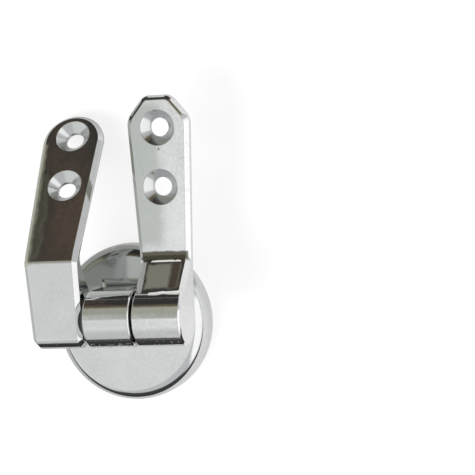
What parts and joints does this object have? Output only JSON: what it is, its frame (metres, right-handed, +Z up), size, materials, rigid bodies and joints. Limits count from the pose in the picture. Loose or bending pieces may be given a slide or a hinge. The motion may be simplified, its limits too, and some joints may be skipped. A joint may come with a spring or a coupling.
{
  "type": "toilet seat hinge",
  "caption": "Chrome toilet seat hinge: round foot with a knuckle, a cranked seat arm and a flat lid arm turning on one pin, with countersunk screw holes.",
  "frame": {"origin": "middle of the foot's underside, at the mouth of the fixing bolt's thread", "axes": "+X along the hinge pin towards the lid arm, +Y the way both arms point as they lie, +Z up from the toilet pan"},
  "size_m": [0.0544, 0.1004, 0.0368],
  "materials": {
    "chrome_casting": "polished chrome plate on zinc",
    "pin_steel": "plain drawn steel",
    "bush_plastic": "moulded black nylon"
  },
  "bodies": {
    "base": {"base": "chrome_casting", "hinge_pin": "pin_steel"},
    "seat_arm": {"seat_arm": "chrome_casting", "seat_arm_bush": "bush_plastic"},
    "lid_arm": {"lid_arm": "chrome_casting", "lid_arm_bush": "bush_plastic"}
  },
  "joints": [
    {"name": "seat_hinge", "type": "hinge", "parent": "base", "child": "seat_arm", "pos_m": [0, 0.0037, 0.0276], "axis": [1, 0, 0], "range_deg": [0, 214.5]},
    {"name": "lid_hinge", "type": "hinge", "parent": "base", "child": "lid_arm", "pos_m": [0, 0.0037, 0.0276], "axis": [1, 0, 0], "range_deg": [-14, 180]}
  ]
}
